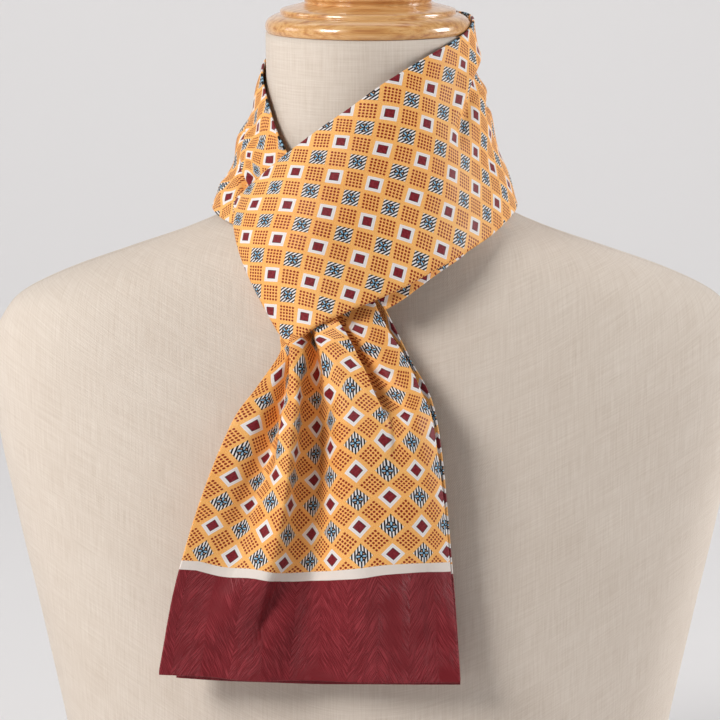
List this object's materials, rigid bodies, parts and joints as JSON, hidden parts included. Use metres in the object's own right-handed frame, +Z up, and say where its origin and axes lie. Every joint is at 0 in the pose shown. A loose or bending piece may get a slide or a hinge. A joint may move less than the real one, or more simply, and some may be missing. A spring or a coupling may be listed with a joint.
{
  "type": "ascot scarf on a dress form",
  "caption": "Printed ascot scarf wound and crossed round the neck of a limbless linen dress form, its pleated end hanging in front.",
  "frame": {"origin": "middle of the form's flat base", "axes": "+Z up along the neck, -Y to the front, +X to the right of someone who looks at the front"},
  "size_m": [0.4302, 0.2372, 0.5437],
  "materials": {
    "form_linen": "plain woven linen, matte",
    "cap_wood": "turned, glossy varnish",
    "scarf_satin": "printed satin with a small all-over pattern, a white line and a plain dark red end"
  },
  "bodies": {
    "root": {"form_body": "form_linen", "neck_cap": "cap_wood", "scarf_front_wrap": "scarf_satin", "scarf_neck_loop": "scarf_satin", "scarf_under_layer": "scarf_satin", "scarf_front_tail": "scarf_satin", "scarf_back_tail": "scarf_satin"}
  },
  "joints": []
}
